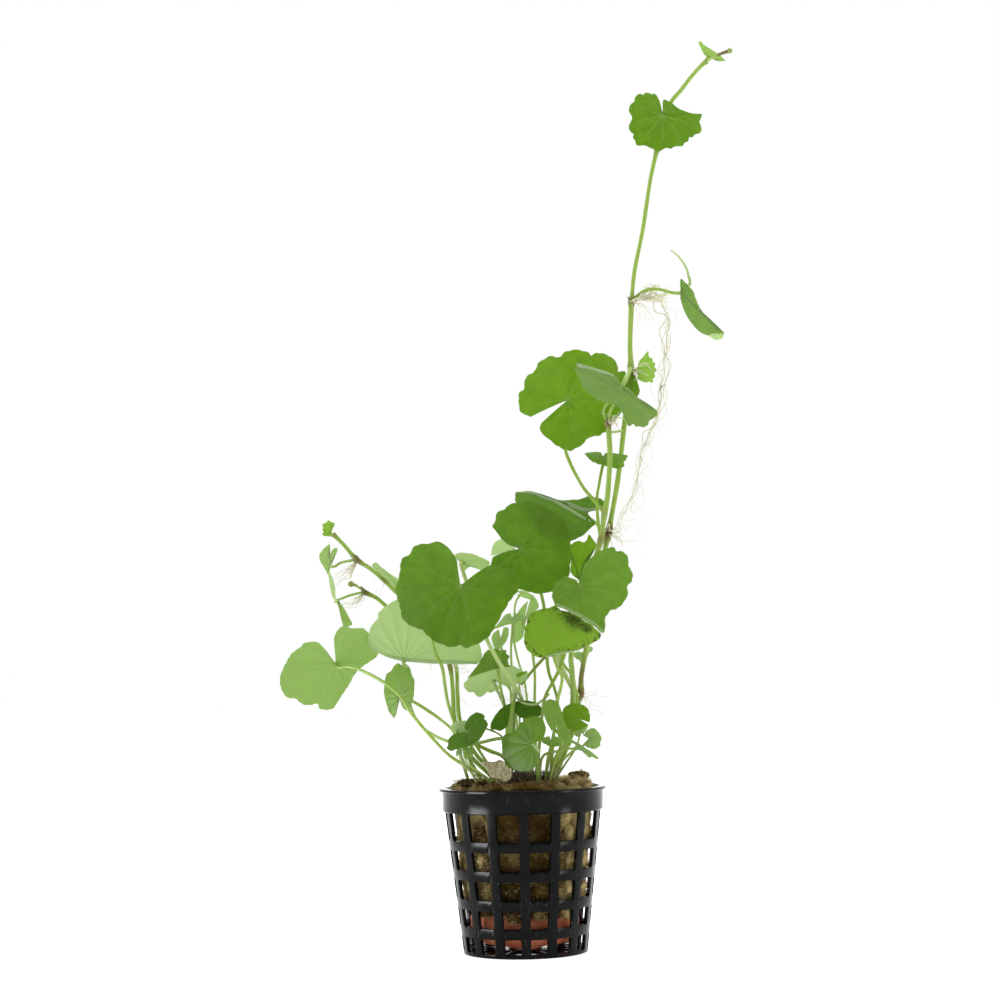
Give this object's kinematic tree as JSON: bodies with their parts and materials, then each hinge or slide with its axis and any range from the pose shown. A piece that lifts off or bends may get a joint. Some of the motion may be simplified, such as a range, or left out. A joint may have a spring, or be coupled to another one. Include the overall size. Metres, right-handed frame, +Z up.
{
  "type": "brazilian pennywort",
  "caption": "Young Brazilian pennywort with round notched leaves on thin creeping stems, rooted in a rockwool plug in a small black net pot.",
  "frame": {"origin": "centre of the net pot's underside, on the flat hub of its base", "axes": "+Z up along the pot's axis, -Y towards the side that the plant is seen from, +X to the right as seen from there"},
  "size_m": [0.1437, 0.0537, 0.2795],
  "materials": {
    "pot_plastic": "satin",
    "rockwool": "matte",
    "fired_clay": "matte",
    "crown": "matte",
    "stem": "satin",
    "leaf": "satin",
    "leaf_young": "satin",
    "leaf_pale": "matte",
    "leaf_dead": "matte",
    "root": "matte"
  },
  "bodies": {
    "root": {"net_pot": "pot_plastic", "rockwool": "rockwool", "clay_base": "fired_clay", "crown": "crown", "runner_lower": "stem", "runner_middle": "stem", "runner_upper": "stem", "runner_front": "stem", "runner_left": "stem", "runner_left_lower": "stem", "leaf_top": "leaf", "leaf_tip_young": "leaf_young", "leaf_hanging": "leaf", "leaf_upper_large": "leaf", "leaf_upper_front": "leaf", "leaf_upper_back": "leaf", "leaf_young_fan": "leaf_young", "leaf_edge_on": "leaf", "leaf_middle_left": "leaf", "leaf_middle_back": "leaf", "leaf_middle_folded": "leaf_young", "leaf_middle_right": "leaf", "leaf_yellowish": "leaf_young", "leaf_small_grey": "leaf_pale", "leaf_front_large": "leaf", "leaf_pale_left": "leaf_pale", "leaf_left_narrow": "leaf", "leaf_far_left": "leaf_pale", "leaf_dark_folded": "leaf", "leaf_pale_small": "leaf_pale", "seedling_left": "leaf_young", "seedling_right": "leaf_young", "leaf_dead": "leaf_dead", "leaf_low_round": "leaf", "leaf_low_dark": "leaf", "leaf_low_oblique": "leaf", "leaf_low_dark_round": "leaf", "leaf_low_right_pale": "leaf_pale", "leaf_low_right_folded": "leaf_pale", "leaf_low_yellow": "leaf_young", "leaf_low_back_pale": "leaf_pale", "leaf_slim_grey": "leaf_pale", "leaf_back_high": "leaf_pale", "leaf_back_upright": "leaf_pale", "leaf_back_small": "leaf_pale", "leaf_mid_dark": "leaf", "leaf_mid_pale": "leaf_pale", "leaf_mid_tiny": "leaf_young", "leaf_behind_large": "leaf_pale", "leaf_behind_left": "leaf_pale", "leaf_shoot_young": "leaf_young", "leaf_shoot_folded": "leaf_pale", "leaf_shoot_slim": "leaf_pale", "bud_tip": "stem", "bud_shoot": "stem", "roots_hanging": "root", "roots_shoot": "root", "roots_shoot_lower": "root", "strand_wilted": "root", "roots_tuft": "root"}
  },
  "joints": []
}
